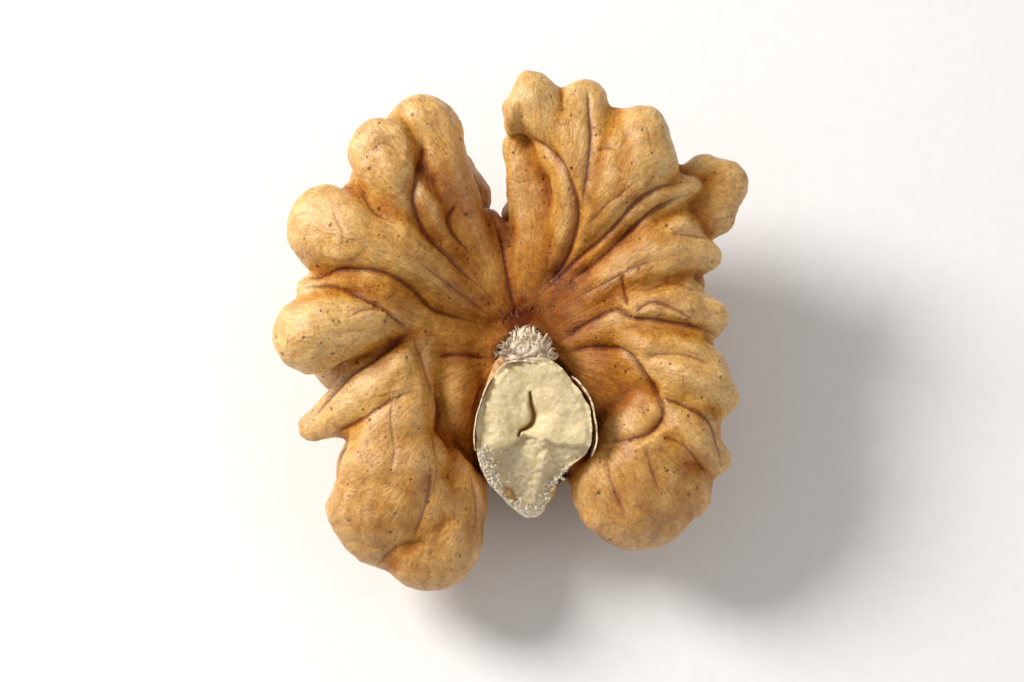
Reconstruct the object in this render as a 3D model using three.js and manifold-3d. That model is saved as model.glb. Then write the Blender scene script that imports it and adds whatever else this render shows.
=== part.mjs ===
// Half of a shelled walnut kernel: the two wings of one half, joined across the
// middle by the isthmus, whose broken stub stands up out of the inner face.
//
// The kernel is drawn in a frame of its own: X across the wings, Y along the suture
// with the blunt end at +Y and the pointed tip at -Y, and Z out of the inner face.
// It then leans to the attitude it settles in when it lies on its back.
// All dimensions are in millimetres.

import * as THREE from "three";
import { mergeVertices } from "three/addons/utils/BufferGeometryUtils.js";
import Module from "manifold-3d";

const REST_LEAN = THREE.MathUtils.degToRad(15); // the inner face leans towards the pointed tip
const FLAT_DEPTH = 0.35; // how far the lowest folds are flattened where they rest
const RING_STEP = 1.6; // distance between rings along a fold
const CAP_RINGS = [3, 5]; // fewest and most rings in each rounded end
const SIDES_PER_MM = 3.4; // sides of a fold for each millimetre of its half width
const FEWEST_SIDES = 9;
const MOST_SIDES = 18;

// Folds of the inner face. Each station is [x, y, z, half width, half thickness].
const INNER_FOLDS = {
  // the thick band that carries the rim of each wing
  leftRimBand: [
    [-5.2, 9.6, -4.2, 2.6, 2.0],
    [-7.6, 6.4, -3.8, 3.9, 2.1],
    [-8.1, 2.2, -3.8, 3.9, 2.1],
    [-7.6, -2.2, -3.9, 3.0, 2.1],
    [-7.3, -6.2, -4.1, 2.9, 2.2],
    [-6.4, -10.6, -4.9, 4.0, 2.4],
  ],
  rightRimBand: [
    [3.4, 11.6, -3.5, 2.5, 1.8],
    [6.6, 9.2, -3.4, 3.6, 2.1],
    [8.2, 5.2, -3.5, 3.5, 2.1],
    [8.6, 0.9, -3.6, 3.2, 2.1],
    [9.4, -3.6, -3.6, 3.2, 2.1],
    [9.2, -7.6, -4.0, 3.2, 2.3],
    [8.0, -10.0, -4.6, 3.6, 2.3],
  ],

  // the wing on the right, from the suture round to the tip
  rightSutureStrip: [
    [0.9, 12.4, -3.6, 1.6, 1.5],
    [1.2, 10.0, -4.0, 1.8, 1.5],
    [1.9, 7.2, -4.3, 2.4, 1.6],
    [1.9, 4.6, -4.7, 2.4, 1.6],
    [1.0, 2.0, -5.2, 1.8, 1.5],
  ],
  rightTopBulb: [
    [0.95, 14.1, -1.9, 1.8, 1.8],
    [2.1, 12.4, -2.1, 1.7, 1.7],
    [3.2, 10.2, -2.4, 1.5, 1.6],
  ],
  rightTopFold: [
    [4.3, 13.6, -1.9, 1.7, 1.5],
    [4.1, 11.8, -1.7, 2.1, 1.7],
    [4.5, 9.4, -1.9, 2.3, 1.8],
    [4.5, 7.0, -2.6, 2.2, 1.8],
    [3.8, 4.6, -3.7, 2.0, 1.6],
    [2.2, 2.2, -4.8, 1.6, 1.4],
  ],
  rightTopWeb: [
    [6.0, 11.9, -2.3, 1.6, 1.6],
    [6.1, 9.8, -1.7, 2.5, 1.8],
    [5.6, 7.4, -2.1, 2.4, 1.7],
    [4.5, 5.4, -3.2, 2.0, 1.5],
  ],
  rightShoulder: [
    [7.8, 11.6, -1.9, 1.95, 1.7],
    [7.7, 9.6, -1.7, 2.7, 1.8],
    [6.7, 7.6, -1.9, 3.0, 1.8],
    [5.4, 5.3, -3.0, 2.6, 1.7],
    [3.4, 3.0, -4.3, 1.9, 1.5],
  ],
  rightLowFlap: [
    [12.9, 8.9, -3.8, 1.6, 0.9],
    [11.6, 7.8, -3.5, 2.5, 1.2],
    [9.6, 6.6, -3.5, 2.4, 1.5],
  ],
  rightLowFlapHeel: [
    [11.7, 9.9, -3.8, 1.0, 1.0],
    [10.2, 8.4, -3.5, 1.6, 1.3],
  ],
  rightRidge: [
    [10.7, 8.7, -2.1, 0.9, 1.0],
    [9.2, 8.0, -1.6, 1.1, 1.1],
    [7.2, 6.4, -1.85, 1.1, 1.1],
    [5.2, 4.5, -2.8, 0.9, 1.0],
    [3.3, 2.7, -3.8, 0.7, 0.8],
  ],
  rightRidgeFoot: [
    [9.9, 7.0, -2.8, 1.2, 1.3],
    [7.8, 5.4, -2.6, 1.4, 1.4],
    [5.6, 3.7, -3.3, 1.3, 1.3],
  ],
  rightUpperLobe: [
    [11.6, 4.5, -2.4, 1.3, 1.2],
    [10.0, 5.0, -2.0, 2.3, 1.5],
    [7.8, 4.2, -2.1, 2.7, 1.6],
    [5.7, 2.7, -3.1, 2.3, 1.6],
    [3.6, 1.3, -4.4, 1.8, 1.4],
  ],
  rightMiddleLobe: [
    [11.9, 0.5, -2.4, 1.4, 1.3],
    [10.3, 1.2, -1.9, 2.2, 1.5],
    [8.2, 1.0, -2.1, 2.4, 1.6],
    [6.0, 0.6, -3.1, 2.0, 1.6],
    [4.0, 0.2, -4.3, 1.6, 1.4],
  ],
  rightLowerLobe: [
    [12.5, -4.3, -2.4, 1.35, 1.4],
    [11.1, -3.2, -1.8, 2.4, 1.6],
    [9.5, -2.2, -1.8, 2.4, 1.6],
    [7.6, -0.8, -2.4, 1.9, 1.5],
  ],
  rightSmallLobe: [
    [12.2, -7.9, -2.8, 1.0, 1.3],
    [11.1, -6.9, -2.1, 2.2, 1.6],
    [9.9, -5.4, -1.9, 2.4, 1.6],
  ],
  rightTip: [
    [7.6, -9.5, -3.4, 4.15, 2.5],
    [8.4, -7.2, -2.7, 3.6, 2.2],
    [9.1, -5.2, -2.5, 2.4, 1.8],
  ],
  rightTipHeel: [
    [10.9, -10.4, -3.7, 1.35, 1.7],
    [10.6, -8.6, -3.2, 1.8, 1.8],
  ],
  rightBowl: [
    [3.0, -0.9, -5.1, 2.2, 1.6],
    [4.9, -2.9, -4.9, 2.9, 1.6],
    [5.6, -5.2, -5.1, 2.9, 1.6],
    [5.0, -7.6, -5.7, 2.2, 1.5],
  ],
  rightBowlRim: [
    [5.2, -0.9, -3.7, 1.5, 1.3],
    [7.3, -2.3, -3.0, 1.3, 1.2],
    [8.2, -4.4, -2.9, 1.3, 1.2],
    [7.4, -6.4, -3.2, 1.4, 1.2],
  ],

  // the web that joins the wings along the suture
  sutureWeb: [
    [-1.2, 6.5, -4.9, 1.3, 1.4],
    [-0.9, 4.4, -4.9, 1.6, 1.4],
    [-0.2, 2.2, -5.2, 1.5, 1.4],
  ],

  // the wing on the left, from the suture round to the tip
  leftTopLobe: [
    [-5.55, 11.9, -3.4, 2.6, 2.2],
    [-4.9, 9.8, -3.4, 2.4, 2.2],
    [-4.1, 7.2, -3.9, 2.4, 2.0],
    [-2.9, 4.4, -4.5, 2.3, 1.7],
    [-1.1, 2.0, -5.1, 1.8, 1.5],
  ],
  leftThumb: [
    [-7.9, 10.5, -1.9, 2.35, 1.7],
    [-7.2, 8.6, -1.9, 2.4, 1.7],
    [-6.2, 6.4, -2.4, 2.4, 1.6],
    [-4.4, 4.3, -3.6, 2.1, 1.5],
    [-2.1, 2.2, -4.8, 1.6, 1.4],
  ],
  leftThumbWeb: [
    [-5.4, 7.9, -3.3, 1.2, 1.4],
    [-4.6, 6.0, -3.3, 1.4, 1.5],
    [-3.3, 4.0, -4.2, 1.3, 1.4],
  ],
  leftUpperWeb: [
    [-8.6, 7.2, -2.9, 1.6, 1.6],
    [-6.6, 5.4, -2.9, 2.2, 1.7],
    [-4.4, 3.4, -4.0, 2.0, 1.5],
  ],
  leftShoulder: [
    [-11.3, 6.2, -2.3, 2.65, 2.1],
    [-9.3, 5.2, -1.8, 3.3, 2.1],
    [-6.7, 3.9, -2.4, 3.3, 1.9],
    [-4.0, 2.4, -3.9, 2.6, 1.7],
    [-1.6, 1.0, -5.2, 1.8, 1.5],
  ],
  leftKneeRidge: [
    [-12.2, 2.3, -1.9, 1.1, 1.3],
    [-9.6, 2.5, -1.3, 1.2, 1.1],
    [-6.8, 1.5, -2.0, 1.2, 1.1],
    [-4.2, 0.2, -3.7, 1.1, 1.0],
  ],
  leftKnee: [
    [-12.2, -0.4, -1.5, 2.45, 2.2],
    [-10.3, 0.3, -1.2, 2.3, 2.0],
    [-8.3, 0.6, -1.7, 1.9, 1.7],
    [-6.3, 0.3, -2.8, 1.5, 1.4],
    [-4.0, -0.6, -4.3, 1.3, 1.3],
  ],
  leftSpur: [
    [-12.3, -6.0, -3.6, 1.0, 0.9],
    [-11.0, -5.4, -3.1, 1.6, 1.2],
    [-9.2, -4.5, -2.4, 2.3, 1.5],
    [-7.4, -2.8, -2.2, 2.2, 1.6],
    [-6.0, -1.0, -2.8, 1.5, 1.4],
  ],
  leftSpurWeb: [
    [-9.8, -2.8, -3.2, 0.9, 1.1],
    [-8.0, -1.3, -2.8, 1.2, 1.3],
    [-6.0, -0.2, -3.3, 1.2, 1.3],
  ],
  leftNeck: [
    [-7.6, -8.6, -2.7, 2.9, 2.2],
    [-7.4, -6.4, -2.4, 2.7, 2.0],
    [-6.9, -4.2, -2.3, 2.2, 1.8],
    [-6.2, -2.2, -2.7, 1.7, 1.5],
  ],
  leftTip: [
    [-7.1, -10.6, -3.5, 4.5, 2.6],
    [-7.2, -8.8, -2.9, 3.5, 2.4],
  ],
  leftTipHeel: [
    [-5.1, -12.7, -4.2, 3.4, 2.4],
    [-5.0, -10.6, -4.1, 3.4, 2.3],
  ],
  leftBowl: [
    [-2.8, -0.8, -5.4, 2.2, 1.6],
    [-3.6, -3.4, -5.7, 2.8, 1.6],
    [-3.8, -6.0, -6.0, 2.7, 1.6],
    [-3.2, -8.2, -6.4, 2.0, 1.5],
  ],
};

// Folds of the rounded back. They are round in section: [x, y, z, radius].
const BACK_FOLDS = {
  leftTopWorm: [
    [-2.9, 8.6, -8.4, 1.7],
    [-5.2, 10.3, -7.2, 2.3],
    [-8.0, 8.8, -6.2, 2.5],
    [-9.0, 5.9, -7.2, 2.5],
    [-7.0, 4.0, -9.2, 2.5],
    [-4.0, 4.2, -10.5, 2.2],
  ],
  leftMiddleWorm: [
    [-3.9, 0.4, -11.3, 2.3],
    [-6.8, 1.0, -9.7, 2.4],
    [-9.8, 2.2, -6.4, 2.4],
    [-11.2, 0.2, -4.4, 2.3],
    [-9.4, -2.4, -6.6, 2.3],
    [-6.4, -3.0, -9.4, 2.5],
    [-3.8, -2.9, -10.9, 2.1],
  ],
  leftTipWorm: [
    [-3.6, -6.2, -9.9, 2.0],
    [-6.4, -5.8, -8.6, 2.4],
    [-8.2, -7.6, -6.4, 2.6],
    [-8.2, -10.4, -6.0, 2.6],
    [-5.4, -11.2, -7.0, 2.6],
    [-3.9, -9.4, -8.2, 2.0],
  ],
  leftRimFold: [
    [-9.6, 6.2, -4.9, 2.3],
    [-7.4, 8.9, -4.7, 2.2],
    [-5.6, 11.9, -5.0, 2.3],
  ],
  rightTopWorm: [
    [3.1, 6.6, -9.2, 1.9],
    [3.3, 9.6, -7.6, 2.2],
    [4.6, 11.8, -5.2, 2.2],
    [7.6, 10.2, -5.0, 2.4],
    [8.6, 7.2, -6.6, 2.5],
    [6.6, 5.2, -8.8, 2.4],
  ],
  rightMiddleWorm: [
    [4.3, 2.4, -11.9, 2.3],
    [7.0, 2.6, -9.0, 2.4],
    [9.3, 4.4, -6.0, 2.2],
    [9.8, 1.8, -5.2, 2.1],
    [9.4, -1.0, -7.0, 2.4],
    [6.6, -1.4, -9.6, 2.4],
    [4.3, -1.2, -10.9, 2.1],
  ],
  rightTipWorm: [
    [4.6, -5.0, -10.1, 2.2],
    [7.6, -4.6, -8.2, 2.5],
    [10.3, -5.2, -5.2, 2.3],
    [9.6, -8.2, -5.2, 2.5],
    [6.8, -9.6, -6.6, 2.6],
    [4.9, -8.2, -8.2, 1.9],
  ],
  rightTopSupport: [
    [1.4, 13.0, -4.4, 1.4],
    [2.8, 11.2, -5.0, 1.8],
    [5.2, 9.8, -5.6, 2.0],
  ],
};

// The hub that joins the wings, the keel along the middle of the back, and the
// broken stub of the isthmus.
const HUB = { centre: [0.3, 0.6, -6.5], halves: [5.6, 6.4, 3.0] };
const WING_CORES = [
  { centre: [-6.2, 0.2, -5.4], halves: [4.6, 8.6, 3.0] },
  { centre: [6.4, 0.4, -5.2], halves: [4.8, 8.4, 3.0] },
];
const KEEL = [
  [1.0, -10.8, -5.2, 0.6, 0.8],
  [1.2, -9.3, -5.8, 1.4, 1.5],
  [1.2, -6.6, -7.0, 2.1, 2.1],
  [0.9, -3.0, -8.4, 1.7, 2.3],
  [0.5, 1.0, -8.9, 1.3, 2.2],
  [0.2, 5.0, -7.9, 1.1, 2.0],
  [0.1, 8.0, -6.4, 0.9, 1.4],
];
const TUFT = { centre: [0.6, -0.8, -3.7], halves: [1.75, 1.15, 1.0] }; // the torn crown above the stub
const STUB = {
  corner: [-0.9, -2.0], // upper left corner of its outline, seen from above
  // each side of the outline: the point it bends towards, then the corner it ends on
  sides: [
    [0.8, -1.2, 2.4, -2.1],
    [4.6, -4.4, 4.75, -6.6],
    [4.4, -8.2, 2.6, -9.3],
    [2.3, -11.0, 1.2, -11.5],
    [-1.4, -10.2, -2.1, -8.2],
    [-2.6, -5.4, -0.9, -2.0],
  ],
  foot: -7.2, // z where the stub starts, inside the keel
  head: -0.5, // z of the broken face at its upper end
  lowEnd: -3.4, // z of the broken face at the tip
  kink: -7.2, // y where the broken face turns down towards the tip
  tip: -11.5, // y of the tip
};

const wasm = await Module();
wasm.setup();

// A closed three.js geometry as a manifold-3d solid.
function solid(geometry) {
  const bare = new THREE.BufferGeometry();
  bare.setAttribute("position", geometry.getAttribute("position"));
  if (geometry.index) bare.setIndex(geometry.index);
  const merged = mergeVertices(bare, 1e-4);
  return new wasm.Manifold(
    new wasm.Mesh({
      numProp: 3,
      vertProperties: merged.attributes.position.array,
      triVerts: new Uint32Array(merged.index.array),
    }),
  );
}

// A manifold-3d solid as a three.js geometry.
function geometryOf(body) {
  const mesh = body.getMesh();
  const geometry = new THREE.BufferGeometry();
  geometry.setAttribute("position", new THREE.BufferAttribute(mesh.vertProperties, 3));
  geometry.setIndex(new THREE.BufferAttribute(mesh.triVerts, 1));
  return geometry;
}

function ellipsoid({ centre, halves }) {
  const geometry = new THREE.SphereGeometry(1, 20, 14);
  geometry.scale(...halves);
  geometry.translate(...centre);
  return geometry;
}

// A straight capsule turned on a lathe, then bent along the spine through the
// stations and swollen to the half width and half thickness that they give.
function fold(stations) {
  const spine = new THREE.CatmullRomCurve3(
    stations.map(([x, y, z]) => new THREE.Vector3(x, y, z)), false, "centripetal");
  const girth = new THREE.CatmullRomCurve3(
    stations.map(([, , , wide, thick = wide]) => new THREE.Vector3(wide, thick, 0)),
    false, "centripetal");
  const length = spine.getLength();
  const ends = [girth.getPoint(0).x, girth.getPoint(1).x];
  const widest = Math.max(...stations.map((station) => station[3]));

  const profile = [];
  const capRings = THREE.MathUtils.clamp(Math.round(widest * 1.3), ...CAP_RINGS);
  for (let i = 0; i <= capRings; i++) {
    const turn = (i / capRings) * (Math.PI / 2);
    profile.push(new THREE.Vector2(Math.sin(turn), -Math.cos(turn) * ends[0]));
  }
  const rings = Math.max(1, Math.round(length / RING_STEP));
  for (let i = 1; i < rings; i++) {
    profile.push(new THREE.Vector2(1, (length * i) / rings));
  }
  for (let i = capRings; i >= 0; i--) {
    const turn = (i / capRings) * (Math.PI / 2);
    profile.push(new THREE.Vector2(Math.sin(turn), length + Math.cos(turn) * ends[1]));
  }
  profile[0].x = 0;
  profile[profile.length - 1].x = 0;

  const sides = THREE.MathUtils.clamp(Math.round(widest * SIDES_PER_MM), FEWEST_SIDES, MOST_SIDES);
  const geometry = new THREE.LatheGeometry(profile, sides);
  const place = geometry.getAttribute("position");
  const out = new THREE.Vector3(0, 0, 1);
  for (let i = 0; i < place.count; i++) {
    const along = place.getY(i);
    const u = THREE.MathUtils.clamp(along / length, 0, 1);
    const size = girth.getPoint(spine.getUtoTmapping(u));
    const ahead = spine.getTangentAt(u);
    const side = new THREE.Vector3().crossVectors(ahead, out).normalize();
    const up = new THREE.Vector3().crossVectors(side, ahead);
    const point = spine.getPointAt(u).addScaledVector(ahead, along - u * length)
      .addScaledVector(side, place.getX(i) * size.x)
      .addScaledVector(up, place.getZ(i) * size.y);
    place.setXYZ(i, point.x, point.y, point.z);
  }
  return geometry;
}

// The stub of the isthmus: an upright column on a pear-shaped outline, its head
// broken off in two slanting faces.
function stub() {
  const outline = new THREE.Shape();
  outline.moveTo(...STUB.corner);
  STUB.sides.forEach((side) => outline.quadraticCurveTo(...side));
  const column = solid(new THREE.ExtrudeGeometry(outline, {
    depth: STUB.head - STUB.foot, bevelEnabled: false, curveSegments: 4,
  }).translate(0, 0, STUB.foot));
  const reach = 12;
  const cutter = new THREE.BoxGeometry(reach, reach, reach).translate(0, -reach / 2, reach / 2);
  const slope = Math.atan2(STUB.head - STUB.lowEnd, STUB.kink - STUB.tip);
  cutter.rotateX(slope).translate(1, STUB.kink, STUB.head);
  return column.subtract(solid(cutter));
}

const folds = [...Object.values(INNER_FOLDS), ...Object.values(BACK_FOLDS), KEEL].map(fold);
const cores = [HUB, ...WING_CORES, TUFT].map(ellipsoid);
let kernel = [...folds, ...cores].map(solid).reduce((body, piece) => body.add(piece), stub());

// Lean the kernel to its resting attitude and flatten the folds it rests on.
const leaned = geometryOf(kernel);
leaned.rotateX(REST_LEAN);
leaned.computeBoundingBox();
const floorLevel = leaned.boundingBox.min.z + FLAT_DEPTH;
const below = new THREE.BoxGeometry(60, 60, 20).translate(0, 0, floorLevel - 10);
kernel = solid(leaned).subtract(solid(below));

// The origin is under the middle of the kernel, on the surface it rests on.
const placed = geometryOf(kernel);
placed.computeBoundingBox();
const middle = placed.boundingBox.getCenter(new THREE.Vector3());
placed.translate(-middle.x, -middle.y, -floorLevel);

const skin = new THREE.MeshStandardMaterial({ color: 0xc8965a, roughness: 0.55, metalness: 0 });
const walnutHalf = new THREE.Mesh(placed, skin);
walnutHalf.name = "walnut_half";
const part = new THREE.Group();
part.add(walnutHalf);
export default part;
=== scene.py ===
import math
import random

import bmesh
import bpy
import numpy as np
from mathutils import Matrix, Vector, noise


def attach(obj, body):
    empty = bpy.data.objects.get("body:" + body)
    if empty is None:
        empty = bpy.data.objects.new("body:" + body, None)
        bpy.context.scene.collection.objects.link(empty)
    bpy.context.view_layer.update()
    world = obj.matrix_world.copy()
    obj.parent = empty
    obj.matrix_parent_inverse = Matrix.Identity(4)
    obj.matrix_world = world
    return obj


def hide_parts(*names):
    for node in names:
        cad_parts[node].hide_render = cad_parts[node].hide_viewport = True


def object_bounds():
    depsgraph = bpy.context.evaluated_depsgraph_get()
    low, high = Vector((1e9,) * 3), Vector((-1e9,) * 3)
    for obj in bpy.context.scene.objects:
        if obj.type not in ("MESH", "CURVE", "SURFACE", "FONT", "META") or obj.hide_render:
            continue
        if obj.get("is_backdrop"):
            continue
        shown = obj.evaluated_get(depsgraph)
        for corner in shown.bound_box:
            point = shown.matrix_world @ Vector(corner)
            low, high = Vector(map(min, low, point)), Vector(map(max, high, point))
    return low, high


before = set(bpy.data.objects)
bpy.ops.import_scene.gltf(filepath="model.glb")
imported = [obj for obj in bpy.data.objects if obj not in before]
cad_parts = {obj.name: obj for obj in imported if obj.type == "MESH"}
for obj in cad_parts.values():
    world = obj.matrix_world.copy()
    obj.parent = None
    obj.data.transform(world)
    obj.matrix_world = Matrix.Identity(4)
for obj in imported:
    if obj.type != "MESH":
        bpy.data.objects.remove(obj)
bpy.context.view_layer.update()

# ---------------------------------------------------------------------------
# The kernel half: the two wings, the keel and the foot of the isthmus, grown
# as one piece. It is soft oily flesh under a thin tan seed coat. The coat is
# creased between the folds and carries fine branching veins.
# ---------------------------------------------------------------------------

# The kernel is described on its own inner face: across the wings, along the
# suture and out of the face, in millimetres from the middle of the face. It
# lies on its back with the face leaning towards the pointed tip.
MM = 0.001  # a millimetre of the frame, which is in metres
FACE_LEAN = math.radians(15)
FACE_MIDDLE = Vector((0.0759, -0.7189, 13.0261))
FROM_FACE = Matrix.Translation(FACE_MIDDLE) @ Matrix.Rotation(FACE_LEAN, 4, "X")
TO_FACE = FROM_FACE.inverted()

SKIN_FACET = 0.2 * MM  # side of the even facets that the skin is worked in
FOLD_ROUNDING = 20  # passes that soften the joins between folds
CENTRE = np.array((0.6, -0.6))  # where the folds of the face run together
FUNNEL_REACH = (2.5, 8.5)  # the folds are all smooth up to the first reach, and whole past the second
FUNNEL_PASSES = 70
FOLD_PASSES = 12  # passes that tell the narrow clefts from the crests
VALLEY_PASSES = 115  # passes that tell the broad valleys from the crests
HEAD_SINK = 1.15  # how deep the head of the stub is sunk, to take the break
CROWN_SINK = 1.5  # how deep the foot of the crown is sunk, to take its fibres
CROWN_FOOT = (0.6, -1.5, 2.6, 1.9)  # across, along, half width, half length
LEFT_BOWL = (-3.5, -4.8, 1.7, 3.2)
RIGHT_BOWL = (5.2, -4.2, 2.2, 2.6)
BOWL_LIFT = (0.75, 0.1)
SWELL = (0.14, 0.28, 1.0)  # height of a fold, its dip beside a crease and the dip's half width
LUMPS = ((0.22, 3.4, 1), (0.11, 1.5, 2), (0.045, 0.6, 3))  # height, size, seed
OUTER_LUMPS = (0.30, 2.3, 23)
# furrows of the outside: size and seed of their winding, half width, size and
# seed of the patches that have them, and where those patches fade in
FURROWS = ((5.2, 21, 0.075, 3.6, 22, -0.35, 0.05), (3.9, 24, 0.09, 3.1, 25, 0.05, 0.3))
FURROW_DEPTH = 0.42
NOTCH = (-0.35, 0.5, 1.1)  # place across, half width and depth of the notch between the wings
SCAR = (0.35, 0.7, 1.3, 1.05)


def on_face(points):
    """Places of points of the frame, in metres, as places on the inner face."""
    turn = np.array(TO_FACE)
    return points / MM @ turn[:3, :3].T + turn[:3, 3]


def in_frame(points):
    """Places on the inner face as points of the frame, in metres."""
    turn = np.array(FROM_FACE)
    return (points @ turn[:3, :3].T + turn[:3, 3]) * MM


def mesh_points(mesh):
    flat = np.empty(len(mesh.vertices) * 3)
    mesh.vertices.foreach_get("co", flat)
    return flat.reshape(-1, 3)


def mesh_normals(mesh):
    flat = np.empty(len(mesh.vertices) * 3)
    mesh.vertices.foreach_get("normal", flat)
    return flat.reshape(-1, 3)


def move_points(mesh, points):
    mesh.vertices.foreach_set("co", points.astype(np.float32).ravel())
    mesh.update()


def worked_mesh(piece):
    """The piece's mesh with its modifiers applied and then cleared away."""
    graph = bpy.context.evaluated_depsgraph_get()
    mesh = bpy.data.meshes.new_from_object(piece.evaluated_get(graph))
    piece.modifiers.clear()
    piece.data = mesh
    return mesh


def even_skin(piece, facet, rounding):
    """Works the piece's surface into even facets and rounds it."""
    remesh = piece.modifiers.new("even_facets", "REMESH")
    remesh.mode = "VOXEL"
    remesh.voxel_size = facet
    remesh.use_smooth_shade = True
    smooth = piece.modifiers.new("rounding", "SMOOTH")
    smooth.factor = 0.5
    smooth.iterations = rounding
    return worked_mesh(piece)


def neighbour_mean(mesh):
    """A function that averages a value over each vertex's neighbours."""
    edges = np.empty(len(mesh.edges) * 2, dtype=np.int64)
    mesh.edges.foreach_get("vertices", edges)
    a, b = edges.reshape(-1, 2).T
    count = len(mesh.vertices)
    share = np.bincount(a, minlength=count) + np.bincount(b, minlength=count)

    def mean(values):
        if values.ndim == 1:
            total = np.bincount(a, values[b], count) + np.bincount(b, values[a], count)
            return total / share
        return np.stack([mean(column) for column in values.T], axis=1)

    return mean


def softened(values, mean, passes):
    for _ in range(passes):
        values = 0.5 * values + 0.5 * mean(values)
    return values


def smooth_path(stations, spacing=0.25):
    """A smooth line through the stations, as closely set points."""
    points = [np.array(p, float) for p in stations]
    padded = [2 * points[0] - points[1], *points, 2 * points[-1] - points[-2]]
    line = []
    for p0, p1, p2, p3 in zip(padded, padded[1:], padded[2:], padded[3:]):
        steps = max(2, int(np.linalg.norm(p2 - p1) / spacing))
        for t in np.arange(steps) / steps:
            straight = 2 * p1 + (p2 - p0) * t
            bowed = (2 * p0 - 5 * p1 + 4 * p2 - p3) * t ** 2
            twisted = (3 * p1 - p0 - 3 * p2 + p3) * t ** 3
            line.append(0.5 * (straight + bowed + twisted))
    line.append(points[-1])
    return np.array(line)


def distance_along(places, line):
    """Each place's distance from the line, its share of the line's length and its side."""
    nearest = np.full(len(places), 1e9)
    along = np.zeros(len(places))
    side = np.ones(len(places))
    for i, (start, end) in enumerate(zip(line, line[1:])):
        run = end - start
        t = np.clip(((places - start) @ run) / (run @ run), 0, 1)
        away = places - (start + t[:, None] * run)
        gap = np.linalg.norm(away, axis=1)
        closer = gap < nearest
        nearest[closer] = gap[closer]
        along[closer] = (i + t[closer]) / (len(line) - 1)
        side[closer] = np.sign(run[0] * away[closer, 1] - run[1] * away[closer, 0])
    return nearest, along, side


def inside(places, line):
    """Whether each place is inside the closed line."""
    within = np.zeros(len(places), bool)
    for (x1, y1), (x2, y2) in zip(line, np.roll(line, -1, axis=0)):
        crosses = (y1 > places[:, 1]) != (y2 > places[:, 1])
        at = x1 + (places[:, 1] - y1) * (x2 - x1) / (y2 - y1 + 1e-12)
        within ^= crosses & (places[:, 0] < at)
    return within


def ease(low, high, values):
    t = np.clip((values - low) / (high - low), 0, 1)
    return t * t * (3 - 2 * t)


def oval_gap(place, across, along, half_width, half_length):
    """Distance from the middle of an oval on the face, which is 1 at its outline."""
    return np.hypot((place[:, 0] - across) / half_width, (place[:, 1] - along) / half_length)


def hump(place, *oval):
    """A round hump over the oval, 1 high in its middle."""
    return np.exp(-oval_gap(place, *oval) ** 2)


def rough(points, size, seed):
    """Smooth noise from -1 to 1 with features of that size in millimetres."""
    shift = Vector((seed * 17.3, seed * 5.1, seed * 9.7))
    return np.array([noise.noise(Vector(p) / size + shift) for p in points])


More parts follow.
